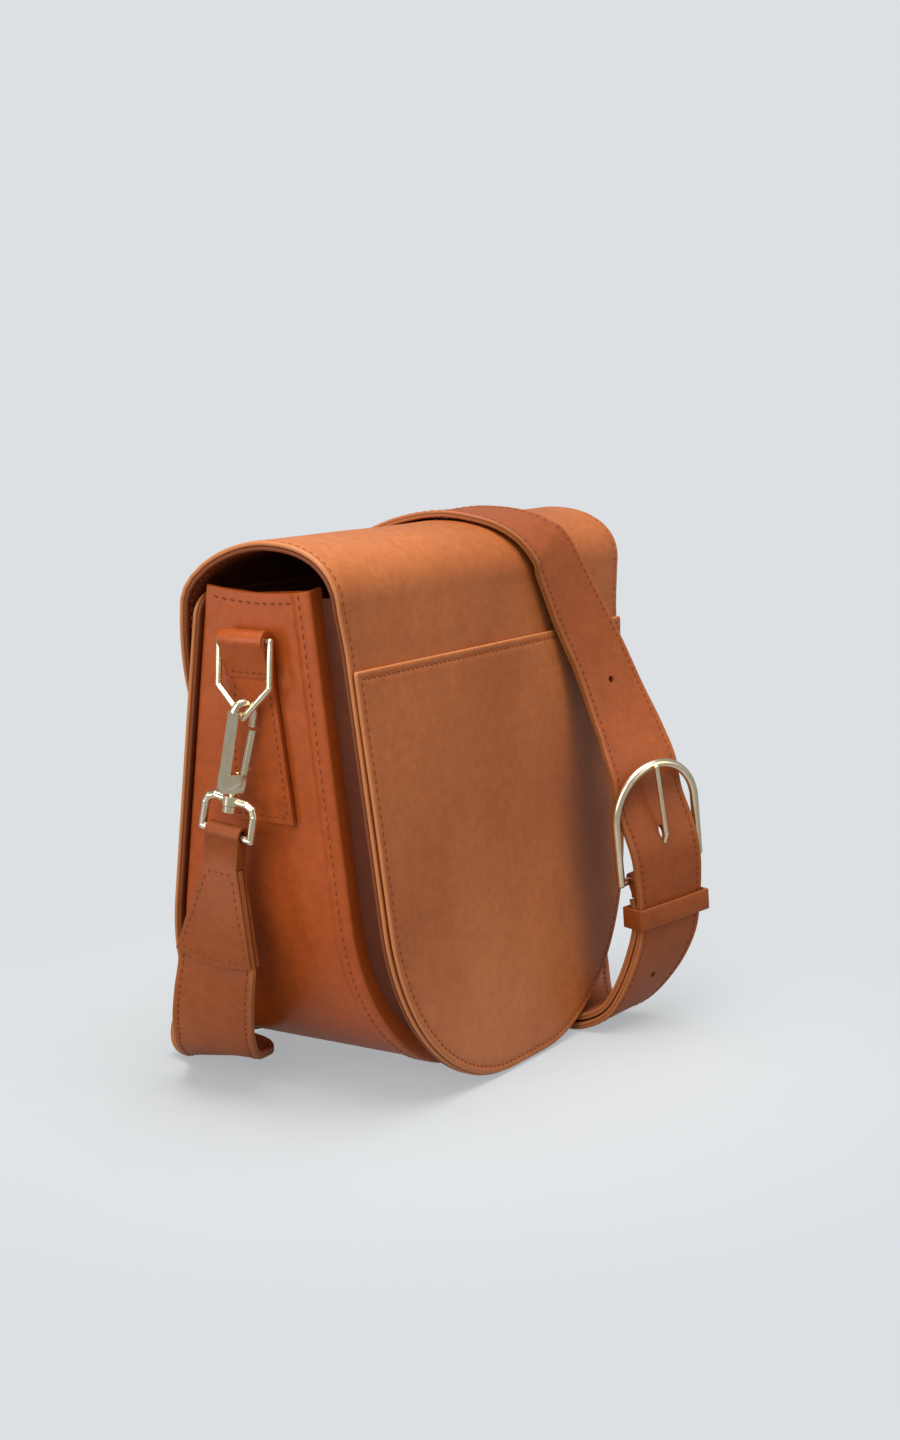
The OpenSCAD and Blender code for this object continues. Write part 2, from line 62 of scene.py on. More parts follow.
def tex(nt, kind, coord, **inputs):
    n = nt.nodes.new(kind)
    nt.links.new(coord, n.inputs["Vector"])
    for k, v in inputs.items():
        n.inputs[k].default_value = v
    return n


def ramp(nt, fac, stops):
    n = nt.nodes.new("ShaderNodeValToRGB")
    el = n.color_ramp.elements
    while len(el) < len(stops):
        el.new(0.5)
    for e, (p, c) in zip(el, stops):
        e.position = p
        e.color = (*c, 1) if len(c) == 3 else c
    nt.links.new(fac, n.inputs[0])
    return n.outputs[0]


def mix(nt, fac, a, b, blend="MIX"):
    n = nt.nodes.new("ShaderNodeMix")
    n.data_type = "RGBA"
    n.blend_type = blend
    if isinstance(fac, float):
        n.inputs[0].default_value = fac
    else:
        nt.links.new(fac, n.inputs[0])
    for k, v in ((6, a), (7, b)):
        if isinstance(v, tuple):
            n.inputs[k].default_value = (*v, 1)
        else:
            nt.links.new(v, n.inputs[k])
    return n.outputs[2]


def scaled(nt, value, k, add=0.0):
    n = nt.nodes.new("ShaderNodeMath")
    n.operation = "MULTIPLY_ADD"
    nt.links.new(value, n.inputs[0])
    n.inputs[1].default_value = k
    n.inputs[2].default_value = add
    return n.outputs[0]


def bump(nt, heights, dist):
    """Several height fields, (socket, strength), one after another."""
    last = None
    for h, s in heights:
        n = nt.nodes.new("ShaderNodeBump")
        n.inputs["Strength"].default_value = s
        n.inputs["Distance"].default_value = dist
        nt.links.new(h, n.inputs["Height"])
        if last is not None:
            nt.links.new(last, n.inputs["Normal"])
        last = n.outputs[0]
    return last


def leather(name, deep, tone, pale, edge, rough=0.44, grain=0.22, coat=0.06):
    m, nt, b = new_material(name)
    co = nt.nodes.new("ShaderNodeTexCoord").outputs["Object"]
    broad = tex(nt, "ShaderNodeTexNoise", co, Scale=11.0, Detail=3.0, Roughness=0.5).outputs[0]
    fine = tex(nt, "ShaderNodeTexNoise", co, Scale=210.0, Detail=6.0, Roughness=0.65).outputs[0]
    pores = tex(nt, "ShaderNodeTexVoronoi", co, Scale=1150.0).outputs["Distance"]
    wrinkle = tex(nt, "ShaderNodeTexNoise", co, Scale=95.0, Detail=5.0, Roughness=0.6,
                  Distortion=0.6).outputs[0]
    colour = ramp(nt, broad, [(0.3, deep), (0.5, tone), (0.72, pale)])
    mottle = ramp(nt, fine, [(0.3, (0.86, 0.84, 0.82)), (0.7, (1.08, 1.08, 1.08))])
    colour = mix(nt, 1.0, colour, mottle, "MULTIPLY")
    dots = ramp(nt, pores, [(0.0, (0.8, 0.78, 0.76)), (0.3, (1, 1, 1))])
    colour = mix(nt, 0.5, colour, dots, "MULTIPLY")
    worn = nt.nodes.new("ShaderNodeAttribute")
    worn.attribute_name = "edge"
    colour = mix(nt, worn.outputs["Fac"], colour, edge)
    nt.links.new(colour, b.inputs["Base Color"])
    nt.links.new(scaled(nt, fine, 0.22, rough - 0.11), b.inputs["Roughness"])
    nt.links.new(bump(nt, [(wrinkle, grain * 0.9), (fine, grain), (pores, grain * 0.5)], 0.0004),
                 b.inputs["Normal"])
    b.inputs["Coat Weight"].default_value = coat
    b.inputs["Coat Roughness"].default_value = 0.38
    b.inputs["Specular IOR Level"].default_value = 0.28
    return m


def cloth(name, dark, light, rough=0.9):
    m, nt, b = new_material(name)
    co = nt.nodes.new("ShaderNodeTexCoord").outputs["Object"]
    nap = tex(nt, "ShaderNodeTexNoise", co, Scale=900.0, Detail=5.0, Roughness=0.7).outputs[0]
    cloud = tex(nt, "ShaderNodeTexNoise", co, Scale=34.0, Detail=3.0).outputs[0]
    c = mix(nt, 0.5, ramp(nt, nap, [(0.35, dark), (0.65, light)]),
            ramp(nt, cloud, [(0.35, dark), (0.65, light)]))
    nt.links.new(c, b.inputs["Base Color"])
    nt.links.new(bump(nt, [(nap, 0.5)], 0.0004), b.inputs["Normal"])
    b.inputs["Roughness"].default_value = rough
    b.inputs["Sheen Weight"].default_value = 0.35
    b.inputs["Sheen Roughness"].default_value = 0.5
    return m


def metal(name, tone, pale, rough):
    m, nt, b = new_material(name)
    co = nt.nodes.new("ShaderNodeTexCoord").outputs["Object"]
    haze = tex(nt, "ShaderNodeTexNoise", co, Scale=120.0, Detail=4.0).outputs[0]
    hair = tex(nt, "ShaderNodeTexNoise", co, Scale=2600.0, Detail=3.0).outputs[0]
    nt.links.new(ramp(nt, haze, [(0.35, tone), (0.65, pale)]), b.inputs["Base Color"])
    nt.links.new(scaled(nt, haze, 0.14, rough - 0.07), b.inputs["Roughness"])
    nt.links.new(bump(nt, [(haze, 0.05), (hair, 0.03)], 0.0002), b.inputs["Normal"])
    b.inputs["Metallic"].default_value = 1.0
    return m


def thread(name, dark, light):
    m, nt, b = new_material(name)
    co = nt.nodes.new("ShaderNodeTexCoord").outputs["Object"]
    twist = tex(nt, "ShaderNodeTexNoise", co, Scale=2400.0, Detail=2.0).outputs[0]
    nt.links.new(ramp(nt, twist, [(0.35, dark), (0.65, light)]), b.inputs["Base Color"])
    nt.links.new(bump(nt, [(twist, 0.6)], 0.0002), b.inputs["Normal"])
    b.inputs["Roughness"].default_value = 0.75
    b.inputs["Specular IOR Level"].default_value = 0.2
    return m


TAN = leather("tan_leather", (0.33, 0.088, 0.02), (0.39, 0.111, 0.028), (0.45, 0.14, 0.039),
              (0.52, 0.19, 0.066))
GUSSET = leather("gusset_leather", (0.36, 0.066, 0.009), (0.42, 0.082, 0.013),
                 (0.47, 0.102, 0.018), (0.46, 0.13, 0.034), rough=0.36, coat=0.12)
STRAP = leather("strap_leather", (0.23, 0.05, 0.009), (0.28, 0.063, 0.012),
                (0.33, 0.08, 0.017), (0.36, 0.12, 0.034), rough=0.5, coat=0.03)
# dark leather for the flap's underside, the front backing and the sunk strip; on the sunk strip its
# darkness is painted shade
DARK_AND_RECESS_SHADE = leather("dark_leather_and_recess_shade", (0.11, 0.02, 0.003), (0.14, 0.027, 0.005), (0.17, 0.037, 0.008),
               (0.2, 0.05, 0.012), rough=0.5)
LINING = cloth("suede_lining", (0.045, 0.022, 0.013), (0.085, 0.042, 0.024))
BOARD = cloth("fibre_board", (0.11, 0.075, 0.05), (0.17, 0.12, 0.08), rough=0.8)
GOLD = metal("pale_gold", (0.86, 0.74, 0.5), (0.93, 0.84, 0.64), 0.24)
STEEL = metal("spring_steel", (0.5, 0.5, 0.51), (0.62, 0.62, 0.63), 0.3)
THREAD = thread("tan_thread", (0.2, 0.044, 0.01), (0.33, 0.085, 0.024))
THREAD_DARK = thread("brown_thread", (0.15, 0.033, 0.008), (0.26, 0.065, 0.019))


# ---------------------------------------------------------------- mesh helpers
def add_object(name, data):
    o = bpy.data.objects.new(name, data)
    scene.collection.objects.link(o)
    return o


def shade_smooth(o, angle):
    """Smooth faces, with sharp edges where the surface turns by more than angle degrees."""
    for p in o.data.polygons:
        p.use_smooth = True
    o.data.set_sharp_from_angle(angle=math.radians(angle))


def skin(rows):
    """Faces through equal closed rows of vertex numbers, with a cap at each end."""
    faces = []
    for a, b in zip(rows, rows[1:]):
        for i in range(len(a)):
            j = (i + 1) % len(a)
            faces.append((a[i], a[j], b[j], b[i]))
    return faces + [tuple(reversed(rows[0])), tuple(rows[-1])]


def make(name, verts, faces, mat, body=None, replaces=(), edge=None, angle=35,
         weld=True):
    """A visible piece from points in millimetres; edge is how worn each point is, 0 to 1."""
    me = bpy.data.meshes.new(name)
    me.from_pydata([Vector(v) * MM for v in verts], [], faces)
    if edge is not None:
        a = me.attributes.new("edge", "FLOAT", "POINT")
        a.data.foreach_set("value", [float(e) for e in edge])
    me.materials.append(mat)
    o = add_object(name, me)
    bm = bmesh.new()
    bm.from_mesh(me)
    if weld:
        bmesh.ops.remove_doubles(bm, verts=bm.verts, dist=2e-6)
    bmesh.ops.dissolve_degenerate(bm, edges=bm.edges, dist=1e-7)
    bmesh.ops.recalc_face_normals(bm, faces=bm.faces)
    bm.to_mesh(me)
    bm.free()
    shade_smooth(o, angle)
    if replaces:
        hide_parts(*replaces)
    if body:
        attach(o, body)
    return o


def apply_all(o):
    """Replaces the mesh by the one that the modifiers make of it."""
    dg = bpy.context.evaluated_depsgraph_get()
    me = bpy.data.meshes.new_from_object(o.evaluated_get(dg))
    o.modifiers.clear()
    o.data = me


def round_edges(o, width, segments, angle):
    """Bevels the edges sharper than angle degrees by width millimetres."""
    mod = o.modifiers.new("round", "BEVEL")
    mod.width = width * MM
    mod.segments = segments
    mod.limit_method = "ANGLE"
    mod.angle_limit = math.radians(angle)
    mod.use_clamp_overlap = True
    apply_all(o)


def lerp(a, b, t):
    return a + (b - a) * t


def smooth01(t):
    t = min(1.0, max(0.0, t))
    return t * t * (3 - 2 * t)


SIDES = 6    # sides of a stitch


def stitches(name, paths, pitch, mat, body, length=2.5, r=0.42, lift=0.12,
             slant=0.0):
    """Raised thread stitches along polylines of (point, normal) in millimetres."""
    verts, faces = [], []
    rings = [(-0.5, 0.25), (-0.42, 0.8), (-0.2, 1.0), (0.2, 1.0), (0.42, 0.8), (0.5, 0.25)]
    for path in paths:
        pts = [Vector(p) for p, _ in path]
        nor = [Vector(n).normalized() for _, n in path]
        cum = [0.0]
        for a, b in zip(pts, pts[1:]):
            cum.append(cum[-1] + (b - a).length)
        count = max(1, int(cum[-1] / pitch))
        step = cum[-1] / count
        j = 0
        for k in range(count):
            s = (k + 0.5) * step
            while j < len(cum) - 2 and cum[j + 1] < s:
                j += 1
            t = (s - cum[j]) / max(1e-9, cum[j + 1] - cum[j])
            c = pts[j].lerp(pts[j + 1], t)
            n = nor[j].lerp(nor[j + 1], t).normalized()
            d = (pts[j + 1] - pts[j]).normalized()
            side = d.cross(n).normalized()
            d = (d + side * slant).normalized()
            side = d.cross(n).normalized()
            base = len(verts)
            for u, q in rings:
                mid = c + d * (u * length) + n * (lift - 0.5 * r * (2 * u) ** 2 * 1.6)
                for h in range(SIDES):
                    a = h * 2 * math.pi / SIDES
                    verts.append(mid + side * (math.cos(a) * r * q)
                                 + n * (math.sin(a) * r * q * 0.8))
            faces += skin([[base + g * SIDES + h for h in range(SIDES)] for g in range(len(rings))])
    return make(name, verts, faces, mat, body, angle=60, weld=False)


# ---------------------------------------------------------------- shared measures (mm)
CORNER_R, HALF_FLAT, LEAN = 92.0, 14.0, math.radians(6)
FLAP_LINE, POCKET_TOP, GUSSET_TOP, FRONT_TOP = 214.0, 189.0, 221.0, 216.0
FLAP_HALF, FLAP_DROP, OVAL_Z, CREST = 123.0, 110.0, 230.0, 240.5
FRONT_SLOPE, SEAM_SLOPE, BACK_SLOPE = 0.18, 0.068, 0.082
SHEET_T = 2.0
EDGE_STITCH, PANEL_STITCH = 3.4, 3.2    # from a sheet's edge to its stitch line


def front_y(z):
    return -64.5 + FRONT_SLOPE * z


def seam_y(z):
    return 46 - SEAM_SLOPE * z


def back_y(z):
    return 61.5 - BACK_SLOPE * z


def u_side(d):
    """Radius, and the point where the corner arc meets the leaning side, for an inset d."""
    r = CORNER_R - d
    return r, HALF_FLAT + r * math.cos(LEAN), CORNER_R - r * math.sin(LEAN)


def u_path(d, top, arc=26, side=22):
    """The panel outline inset by d, from the top on the +X side, under, and up the other side."""
    r, xa, za = u_side(d)
    half = []
    for k in range(side):
        z = lerp(top, za, k / side)
        half.append((xa + (z - za) * math.tan(LEAN), z, math.cos(LEAN), -math.sin(LEAN)))
    for k in range(arc + 1):
        a = lerp(-LEAN, -math.pi / 2, k / arc)
        half.append((HALF_FLAT + r * math.cos(a), CORNER_R + r * math.sin(a), math.cos(a),
                     math.sin(a)))
    half.append((0, CORNER_R - r, 0, -1))
    return half + [(-x, z, -nx, nz) for x, z, nx, nz in reversed(half[:-1])]


M, ARC = 10, 30    # steps across half of a sheet, and along a corner arc


def lower_half(d):
    """Outline inset by d, from the bottom middle to the end of the corner arc, and that end."""
    r, xa, za = u_side(d)
    out = [(HALF_FLAT * m / M, CORNER_R - r) for m in range(M)]
    for k in range(ARC + 1):
        a = lerp(-math.pi / 2, -LEAN, k / ARC)
        out.append((HALF_FLAT + r * math.cos(a), CORNER_R + r * math.sin(a)))
    return out, xa, za


def panel_half(top, inset, rc):
    """Half loop of a panel, bottom middle to top middle, as a function of further inset."""
    steps = 30

    def pts(d):
        out, xa, za = lower_half(inset + d)
        zt = top - d
        q = max(rc - d, 0.05)
        zc = zt - q
        for k in range(1, steps + 1):
            z = lerp(za, zc, k / steps)
            out.append((xa + (z - za) * math.tan(LEAN), z))
        cx = out[-1][0] - q
        for a in (15, 30, 45, 60, 75, 90):
            a = math.radians(a)
            out.append((cx + q * math.cos(a), zc + q * math.sin(a)))
        out += [(cx * m / M, zt) for m in range(M - 1, -1, -1)]
        return out
    return pts, M, M + ARC + steps + 6


def shell(name, half, outer, inner, place, mat, body, replaces=(), edge_of=None):
    """Closed sheet with a rounded edge: rings inset from a closed outline, rows across the middle.
    outer and inner are (inset, height) pairs from the edge inwards; place(x, s, height) gives the
    point."""
    pts, first, last = half
    verts, faces, edge = [], [], []

    def side(profile):
        rings = []
        for k, (d, h) in enumerate(profile):
            p = pts(d)
            for sign in (1, -1):
                row = []
                for x, s in p:
                    row.append(len(verts))
                    verts.append(place(sign * x, s, h))
                    edge.append(edge_of(d) if edge_of else max(0.0, 1 - d / 0.9))
                rings.append(row)
        n = len(rings[0])
        for k in range(len(profile) - 1):
            for q in (0, 1):
                a, b = rings[2 * k + q], rings[2 * k + 2 + q]
                for i in range(n - 1):
                    faces.append((a[i], a[i + 1], b[i + 1], b[i]))
        d, h = profile[-1]
        p = pts(d)
        right, left = rings[-2], rings[-1]
        before = None
        for i in range(first, last + 1):
            x, s = p[i]
            row = [left[i]]
            for m in range(-M + 1, M):
                row.append(len(verts))
                verts.append(place(x * m / M, s, h))
                edge.append(0.0)
            row.append(right[i])
            if before:
                for a in range(len(row) - 1):
                    faces.append((before[a], before[a + 1], row[a + 1], row[a]))
            before = row

    side(outer)
    side(inner)
    return make(name, verts, faces, mat, body, replaces, edge, angle=50)


def rim(t, groove=3.0, depth=0.22, deep=12.0):
    """Heights of an outer face with a rounded edge and a pressed stitch line, and of the inner
    face."""
    h = t / 2
    outer = [(0, h), (0.12, t - 0.5), (0.4, t - 0.18), (0.9, t), (groove - 0.9, t + 0.04),
             (groove - 0.4, t - depth * 0.7), (groove, t - depth), (groove + 0.4, t - depth * 0.7),
             (groove + 1.0, t + 0.05), (groove + 3.0, t), (deep, t)]
    inner = [(0, h), (0.12, 0.5), (0.4, 0.18), (0.9, 0), (deep, 0)]
    return outer, inner


CROWN_HALF = 118    # half width of a panel's crown


def swell(x, z, half, low, high, amount):
    """Soft crown over a panel, zero at its edges."""
    u = max(0.0, 1 - (x / half) ** 2)
    v = max(0.0, math.sin(math.pi * min(1, max(0, (z - low) / (high - low)))))
    return amount * u * v


def drift(x, z, seed, amount):
    """Slow unevenness, so that no panel is perfectly regular."""
    return amount * noise.noise(Vector((x * 0.018 + seed, z * 0.018, seed * 1.7)))


# ---------------------------------------------------------------- back, flap and their lining
ARCH_Y, ARCH_FRONT, ARCH_BACK, ARCH_Z = 12.0, 43.5, 36.0, 212.0


def arch(a, out=0.0):
    """Point (y, z) of the flap's arch, from the back (0) to the front (180), moved outwards."""
    r = math.radians(a)
    depth, n, spring = (ARCH_BACK, 2.3, FLAP_LINE) if a < 90 else (ARCH_FRONT, 1.75, ARCH_Z)
    return (ARCH_Y + (1 if a < 90 else -1) * (depth + out) * abs(math.cos(r)) ** (2 / n),
            spring + (CREST - spring + out) * abs(math.sin(r)) ** (2 / n))


def build_profile():
    """Outer profile as (s, y, z); s is the height up the back, then the length over the crest."""
    pts = [(s, back_y(s) + 4, s) for s in (0, 50, 100, 150, 190, 205, 214)]
    line = [arch(a) for a in range(0, 181, 3)][1:]
    line += [(front_y(z) - 5.2, z) for z in (206, 200, 190, 180, 160, 140, 120, 110, 100)]
    s, y, z = pts[-1]
    for y2, z2 in line:
        s += math.hypot(y2 - y, z2 - z)
        y, z = y2, z2
        pts.append((s, y, z))
    return pts


PROFILE = build_profile()
CREST_S = [p[0] for p in PROFILE if p[2] == max(q[2] for q in PROFILE)][0]


def on_profile(s):
    """Point (y, z) at length s of the profile."""
    for a, b in zip(PROFILE, PROFILE[1:]):
        if s <= b[0]:
            break
    t = (s - a[0]) / (b[0] - a[0])
    return lerp(a[1], b[1], t), lerp(a[2], b[2], t)


def profile_frame(s):
    """Point (y, z) at length s of the profile, and the direction out of the sheet there."""
    y, z = on_profile(s)
    w = 3.0
    y0, z0 = on_profile(max(0.0, s - w))
    y1, z1 = on_profile(s + w)
    ty, tz = y1 - y0, z1 - z0
    n = math.hypot(ty, tz)
    return y, z, tz / n, -ty / n


def front_s(z):
    """Profile length where the front side passes height z."""
    for a, b in zip(PROFILE, PROFILE[1:]):
        if a[0] >= CREST_S and a[2] >= z >= b[2]:
            return lerp(a[0], b[0], (a[2] - z) / (a[2] - b[2]))
    return PROFILE[-1][0]


def sheet_half(inset):
    """Half loop of the sheet that is the back and the flap, as a function of further inset."""
    side, waist, oval = 20, 40, 36

    def pts(d):
        d = d + inset
        out, xa, za = lower_half(d)

        def x_at(s):
            return xa + (s - za) * math.tan(LEAN)

        waist_s, oval_s = 196.0, front_s(OVAL_Z)
        for k in range(1, side + 1):
            s = lerp(za, waist_s, k / side)
            out.append((x_at(s), s))
        for k in range(1, waist + 1):
            s = lerp(waist_s, oval_s, k / waist)
            w = smooth01((s - 194) / 42)
            out.append((lerp(x_at(min(s, 236)), FLAP_HALF - d, w), s))
        for k in range(1, oval + 1):
            a = math.radians(86) * k / oval
            out.append(((FLAP_HALF - d) * math.cos(a),
                        front_s(OVAL_Z - (OVAL_Z - FLAP_DROP - d) * math.sin(a))))
        x, s = out[-1]
        out += [(x * m / M, s) for m in range(M - 1, -1, -1)]
        return out
    return pts, M, M + ARC + side + waist + oval


def sheet_place(base):
    """Place on the back and flap sheet, with a soft crown below and a slight drift over the top."""
    def place(x, s, h):
        y, z, ny, nz = profile_frame(s)
        if s < FLAP_LINE:
            crown = swell(x, s, CROWN_HALF, 10, FLAP_LINE, 1.0)
        else:
            crown = drift(x, s, 4.0, 0.5) * (1 - abs(x) / FLAP_HALF)
        h = base + h + crown
        return (x, y + ny * h, z + nz * h)
    return place


HINGE = dict(a="shell", b="flap", start=(0, 0.047, 0.211), end=(0, 0.038, 0.217))


def bend_with_flap(o):
    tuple(HINGE["start"])
    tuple(HINGE["end"])
    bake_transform(o)
    return o


ou, inn = rim(SHEET_T, groove=EDGE_STITCH)
sheet = shell("back_and_flap", sheet_half(0), ou, inn, sheet_place(-SHEET_T), TAN, None,
              ("back_panel", "flap_outer"))
bend_with_flap(sheet)
ou2 = [(0, 1.0), (0.12, 1.6), (0.4, 1.9), (0.9, 1.96), (12, 1.96)]
in2 = [(0, 1.0), (0.12, 0.5), (0.4, 0.18), (0.9, 0), (2.4, -0.04), (3.0, 0.18), (3.4, 0.22),
       (3.8, 0.18), (4.4, -0.04), (12, 0)]


def lining_edge(d):
    return max(0.0, 1 - d / 0.5)


under = shell("back_and_flap_lining", sheet_half(0.25), ou2, in2, sheet_place(-2 * SHEET_T), DARK_AND_RECESS_SHADE,
              None, ("back_lining", "flap_lining"), lining_edge)
bend_with_flap(under)


def sheet_line(d, height, out, s_from):
    """Both sides of the sheet outline at inset d as stitch paths; out is 1 outside, -1 inside."""
    place = sheet_place(height)
    res = []
    for sign in (1, -1):
        line = []
        for x, s in sheet_half(0)[0](d)[:-M]:
            if s < s_from:
                continue
            ny, nz = profile_frame(s)[2:]
            line.append((place(sign * x, s, 0), (0, out * ny, out * nz)))
        res.append(line)
    return res


bend_with_flap(stitches("flap_edge_stitches", sheet_line(EDGE_STITCH, -0.22, 1, 150), 3.6, THREAD,
                        None, slant=0.1))
bend_with_flap(stitches("flap_under_stitches", sheet_line(3.6, -3.851, -1, 212), 3.6,
                        THREAD, None, slant=0.1))


# ---------------------------------------------------------------- slip pocket
def on_back(base, amount):
    def place(x, z, h):
        h = base + h + swell(x, z, CROWN_HALF, 8, 206, amount) + drift(x, z, 9.0, 0.35)
        k = 1 / math.hypot(1, BACK_SLOPE)
        return (x, back_y(z) + h * k, z + BACK_SLOPE * h * k)
    return place


POCKET_STITCH_H = 1.78
ou, inn = rim(SHEET_T, groove=PANEL_STITCH, depth=0.26)
pocket_place = on_back(4.35, 1.6)
pocket = panel_half(POCKET_TOP, 0.6, 1.2)
shell("slip_pocket_leather", pocket, ou, inn, pocket_place, TAN, "shell",
      ("slip_pocket", "pocket_seam"))
half = [p for p in pocket[0](PANEL_STITCH) if p[1] < POCKET_TOP - 3.0]
nback = Vector((0, 1, BACK_SLOPE)).normalized()
lines = [[(pocket_place(s * x, z, POCKET_STITCH_H), nback) for x, z in half] for s in (1, -1)]
lines.append([(pocket_place(x, POCKET_TOP - PANEL_STITCH, POCKET_STITCH_H), nback)
              for x in range(-112, 113, 4)])
stitches("pocket_stitches", lines, 3.6, THREAD, "shell", slant=0.1)


# ---------------------------------------------------------------- front panel
def on_front(base, amount):
    def place(x, z, h):
        h = base + h + swell(x, z, CROWN_HALF, 8, 214, amount)
        k = 1 / math.hypot(1, FRONT_SLOPE)
        return (x, front_y(z) - h * k, z - FRONT_SLOPE * h * k)
    return place


LEATHER_TOP, BACKING_T = FRONT_TOP + 1.5, 1.95
ou, inn = rim(SHEET_T, groove=PANEL_STITCH)
front_place = on_front(-SHEET_T, 0.8)
front = panel_half(LEATHER_TOP, 0, 9)
shell("front_leather", front, ou, inn, front_place, TAN, "shell", ("front_panel",))
ou, inn = rim(BACKING_T, groove=PANEL_STITCH)
shell("front_backing_leather", panel_half(LEATHER_TOP, 0.2, 9),
      [(d, BACKING_T - h) for d, h in inn], [(d, BACKING_T - h) for d, h in ou],
      on_front(-2 * SHEET_T, 0.8), DARK_AND_RECESS_SHADE, "shell", ("front_backing",))
nfront = Vector((0, -1, -FRONT_SLOPE)).normalized()
half = [p for p in front[0](PANEL_STITCH) if p[0] > 0.01]
stitches("front_stitches", [[(front_place(s * x, z, 1.8), nfront) for x, z in half]
                            for s in (1, -1)], 3.6, THREAD, "shell", slant=0.1)


# ---------------------------------------------------------------- gussets
GUSSET_INSET, GUSSET_FRONT, GUSSET_STITCH, GUSSET_MOUTH = 3.0, 3.9, 5.6, 24


def sweep(name, path, loop, mat, body, replaces):
    """Closed loop of points swept along stations; loop(station) gives 3-D points."""
    verts, rows = [], []
    for st in path:
        pts = loop(st)
        rows.append(list(range(len(verts), len(verts) + len(pts))))
        verts += pts
    return make(name, verts, skin(rows), mat, body, replaces, angle=50)


def gusset_top_dip(y, f, s):
    """How far the gusset's top edge dips between the front f and the seam s."""
    u = (y - f) / (s - f)
    return 2.6 * max(0.0, 1 - (2 * u - 1) ** 2)


def mouth_share(z):
    """Share of the top edge's dip that the gusset has at height z."""
    return smooth01((z - (GUSSET_TOP - GUSSET_MOUTH)) / GUSSET_MOUTH)


def gusset_offset(y, z, f, s):
    """How far the gusset bows inwards between its seams."""
    u = min(1, max(0, (y - f) / (s - f)))
    bow = 1 - (2 * u - 1) ** 2
    return -1.3 * bow * smooth01((z - 30) / 80)


def gusset_point(st, y, o):
    x, z, nx, nz = st
    return (x + nx * o, y, z + nz * o)


def gusset_loop(st):
    """Section of the gusset: bowed leather, raised hem with its stitch groove, turned-in edge."""
    z = st[1]
    f, s = front_y(z) + GUSSET_FRONT, seam_y(z)
    hem = s - GUSSET_STITCH
    out = [(y, gusset_offset(y, z, f, s)) for y in (lerp(f, s - 10.5, k / 12) for k in range(13))]
    g = gusset_offset(s - 9.5, z, f, s)
    out += [(s - 9.9, g), (s - 9.4, g + 0.55), (s - 8.6, g + 0.95), (hem - 0.6, 0.9),
            (hem, 0.66), (hem + 0.6, 0.9), (s - 2.2, 0.95), (s - 1.0, 0.75), (s - 0.3, 0.3),
            (s, -0.4), (s, -8.6), (s - 2.3, -8.6), (s - 2.3, -2.2)]
    out += [(y, gusset_offset(y, z, f, s) - 2.2) for y in (lerp(s - 4, f, k / 6) for k in range(7))]
    pts = []
    for y, o in out:
        p = gusset_point(st, y, o)
        pts.append((p[0], p[1], p[2] - mouth_share(z) * gusset_top_dip(min(y, s), f, s)))
    return pts


gpath = u_path(GUSSET_INSET, GUSSET_TOP)
gus = sweep("gusset_leather_strip", gpath, gusset_loop, GUSSET, None, ("main_gusset",))
round_edges(gus, 0.6, 2, 50)
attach(gus, "shell")


def rear_loop(st):
    """Section of the strip sunk between the gusset and the back; its dark colour is painted shade.
    """
    z = st[1]
    s, b = seam_y(z) + 0.1, back_y(z) - 0.1
    out = [(lerp(s, b, k / 8), -3.0 * math.sin(math.pi * k / 8)) for k in range(9)]
    out += [(b, -1.8), (lerp(s, b, 0.5), -4.8), (s, -1.8)]
    return [gusset_point(st, y, o) for y, o in out]


# the sunk strip's dark leather is painted shade in the recess
sweep("recess_strip", u_path(10.0, GUSSET_TOP - 4), rear_loop, DARK_AND_RECESS_SHADE, "shell", ("rear_gusset",))

# stitch lines of the gusset: along its seam with the back, and below each top edge
line = []
for st in gpath:
    x, z, nx, nz = st
    s = seam_y(z)
    dip = mouth_share(z) * gusset_top_dip(s - GUSSET_STITCH, front_y(z) + GUSSET_FRONT, s)
    p = gusset_point(st, s - GUSSET_STITCH, 0.72)
    line.append(((p[0], p[1], p[2] - dip), (nx, 0, nz)))
hems = []
for side in (1, -1):
    x, z, nx, nz = u_path(GUSSET_INSET, GUSSET_TOP - 4.2)[0]
    f, s = front_y(z) + GUSSET_FRONT, seam_y(z)
    row = []
    for k in range(25):
        y = lerp(f + 3, s - 10, k / 24)
        dip = gusset_top_dip(y, f, s)
        o = gusset_offset(y, z, f, s)
        row.append(((side * (x + nx * o), y, z - dip + nz * o), (side * nx, 0, nz)))
    hems.append(row)
stitches("gusset_stitches", [line] + hems, 4.0, THREAD_DARK, "shell", slant=0.1)


# ---------------------------------------------------------------- straps
STRAP_T, STRAP_W, FOLD_W, TIP = 3.2, 39.0, 17.0, 16
LOOP_DROP, END_STRAIGHT, END_FLARE = 50.0, 14.0, 43
HANG, END = math.radians(11), math.radians(6)    # lean of the hanging hook, and of the strap end
TAB_Z, BAR_OUT, RING_DROP, RING_LEAN = 200, 4.6, 32, math.radians(3)
_, gx, gz = u_side(GUSSET_INSET)
TAB_X = gx + (TAB_Z - gz) * math.tan(LEAN)
RING_X = TAB_X + BAR_OUT * math.cos(LEAN) + RING_DROP * math.sin(RING_LEAN)
RING_Z = TAB_Z - BAR_OUT * math.sin(LEAN) - RING_DROP * math.cos(RING_LEAN)


# the point at distance u down the strap end that hangs from the left loop
def end_y(u):
    return -LOOP_DROP * math.sin(HANG) - u * math.sin(END)


def end_z(u):
    return RING_Z - LOOP_DROP * math.cos(HANG) - u * math.cos(END)


STRAP_LIE = STRAP_T / 2 + 0.9    # from the flap to the middle of the strap that lies over it
CROSS_START, CROSS_RATE, CROSS_STEP = -5.8, -0.28, 2


